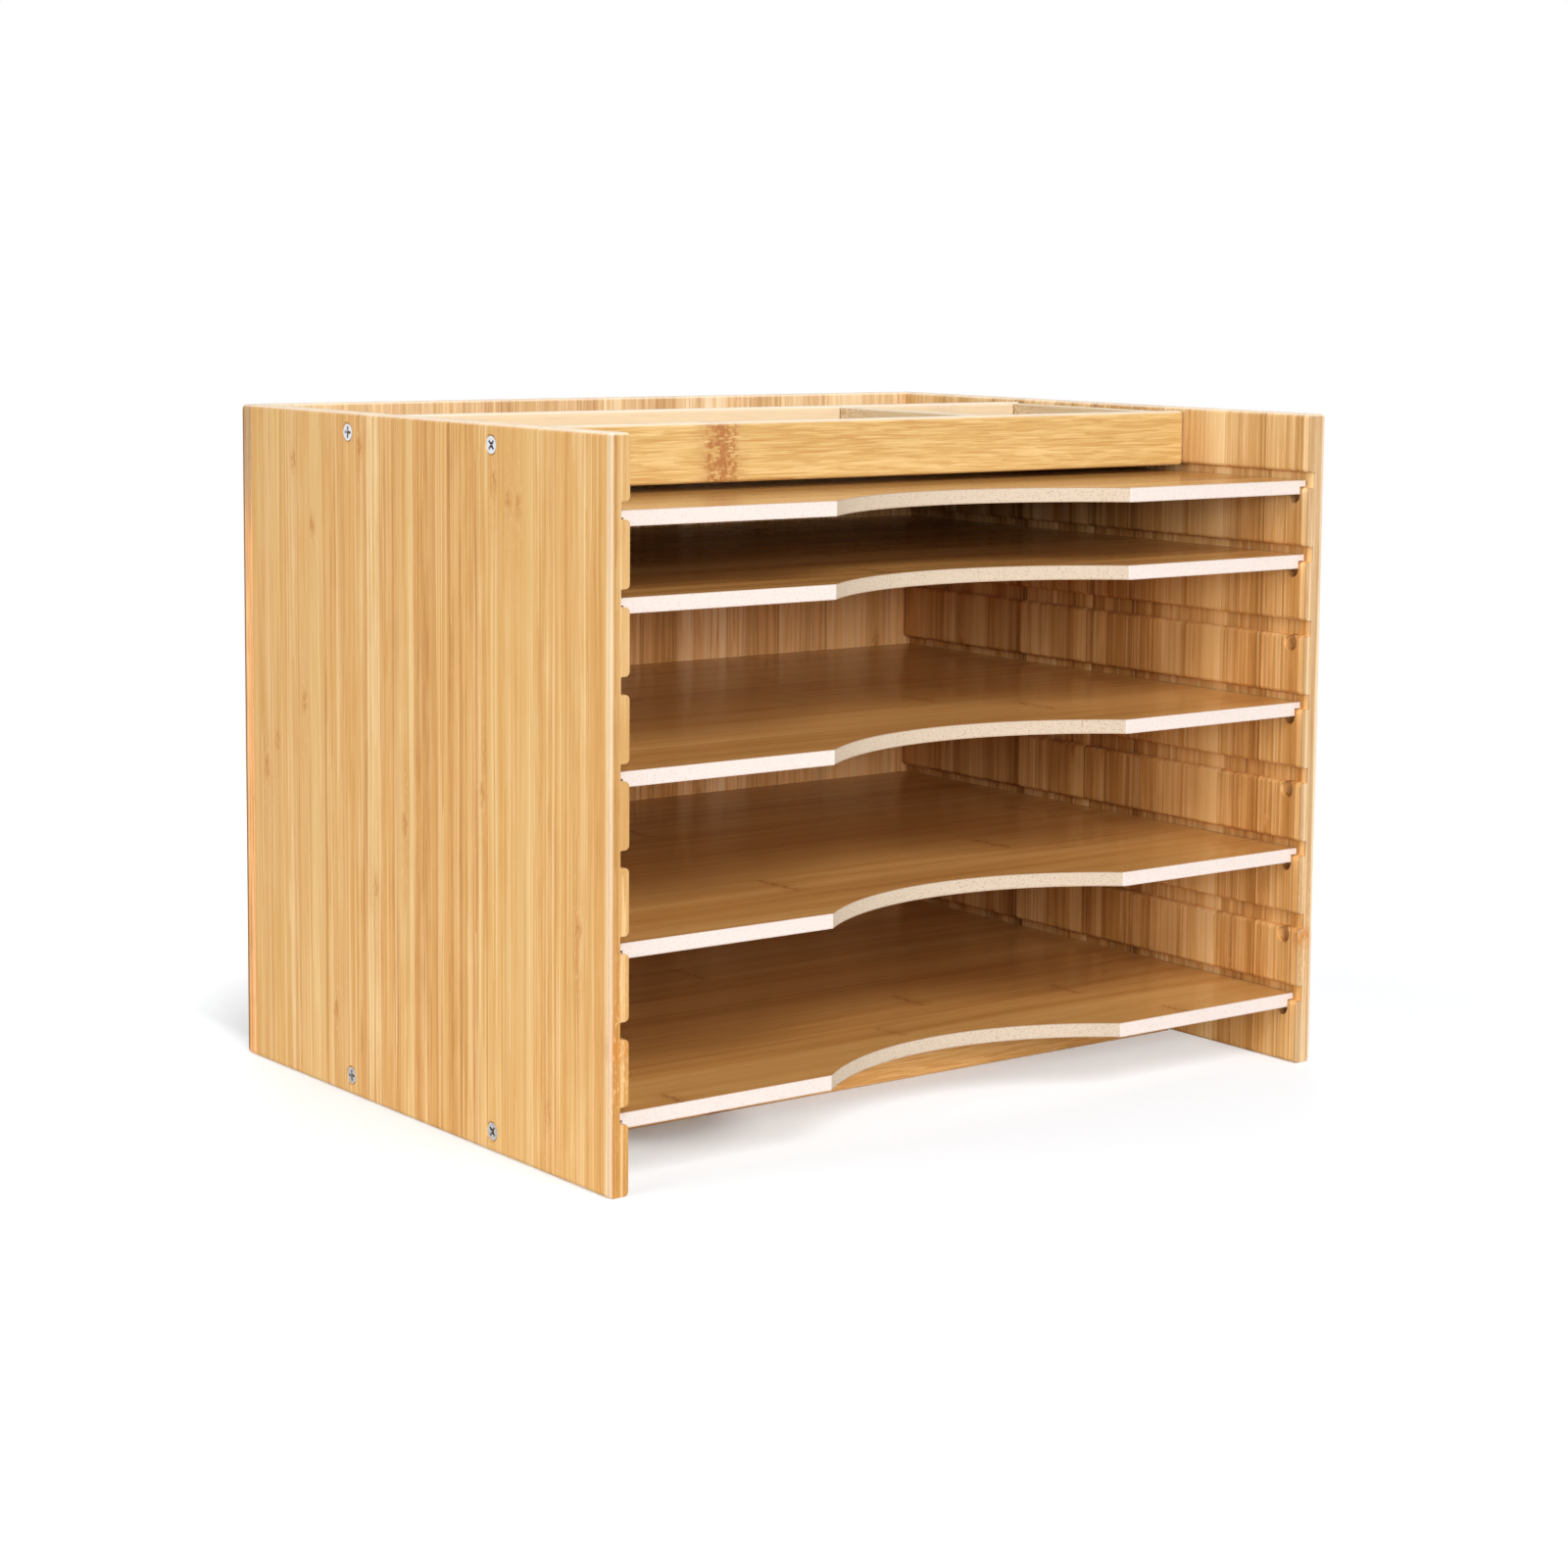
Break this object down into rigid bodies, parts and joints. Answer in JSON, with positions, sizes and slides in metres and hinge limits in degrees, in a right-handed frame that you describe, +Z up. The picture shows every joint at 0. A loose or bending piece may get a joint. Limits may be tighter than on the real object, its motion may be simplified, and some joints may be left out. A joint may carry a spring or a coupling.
{
  "type": "desktop file sorter",
  "caption": "Bamboo desktop file sorter: grooved sides and back hold sliding shelves with a front finger cut-out, under an open top tray with a divider.",
  "frame": {"origin": "on the surface the sorter stands on, under the middle of its overall box", "axes": "+Z up, -Y towards the open front where the shelves slide out, +X to the right seen from the front"},
  "size_m": [0.338, 0.26, 0.26],
  "materials": {
    "bamboo": "satin lacquered edge-glued bamboo",
    "tray_bamboo": "satin lacquered bamboo",
    "printed_board": "satin wood-grain print on fibreboard",
    "tray_board": "satin board",
    "zinc": "bright zinc plated"
  },
  "bodies": {
    "frame": {"left_side_panel": "bamboo", "right_side_panel": "bamboo", "back_panel": "bamboo", "tray_front_board": "tray_bamboo", "tray_rear_board": "tray_bamboo", "tray_left_end": "tray_bamboo", "tray_right_end": "tray_bamboo", "tray_divider": "tray_bamboo", "tray_base": "tray_board", "front_bottom_rail": "tray_bamboo", "rear_bottom_rail": "tray_bamboo", "left_tray_front_screw": "zinc", "left_tray_rear_screw": "zinc", "left_rail_front_screw": "zinc", "left_rail_rear_screw": "zinc", "right_tray_front_screw": "zinc", "right_tray_rear_screw": "zinc", "right_rail_front_screw": "zinc", "right_rail_rear_screw": "zinc", "back_left_top_screw": "zinc", "back_left_middle_screw": "zinc", "back_left_bottom_screw": "zinc", "back_right_top_screw": "zinc", "back_right_middle_screw": "zinc", "back_right_bottom_screw": "zinc"},
    "shelf_1": {"shelf_1": "printed_board"},
    "shelf_2": {"shelf_2": "printed_board"},
    "shelf_3": {"shelf_3": "printed_board"},
    "shelf_4": {"shelf_4": "printed_board"},
    "shelf_5": {"shelf_5": "printed_board"}
  },
  "joints": [
    {"name": "shelf_1_slide", "type": "slide", "parent": "frame", "child": "shelf_1", "axis": [0, -1, 0], "range_m": [0, 0.256]},
    {"name": "shelf_2_slide", "type": "slide", "parent": "frame", "child": "shelf_2", "axis": [0, -1, 0], "range_m": [0, 0.256]},
    {"name": "shelf_3_slide", "type": "slide", "parent": "frame", "child": "shelf_3", "axis": [0, -1, 0], "range_m": [0, 0.256]},
    {"name": "shelf_4_slide", "type": "slide", "parent": "frame", "child": "shelf_4", "axis": [0, -1, 0], "range_m": [0, 0.256]},
    {"name": "shelf_5_slide", "type": "slide", "parent": "frame", "child": "shelf_5", "axis": [0, -1, 0], "range_m": [0, 0.256]}
  ]
}
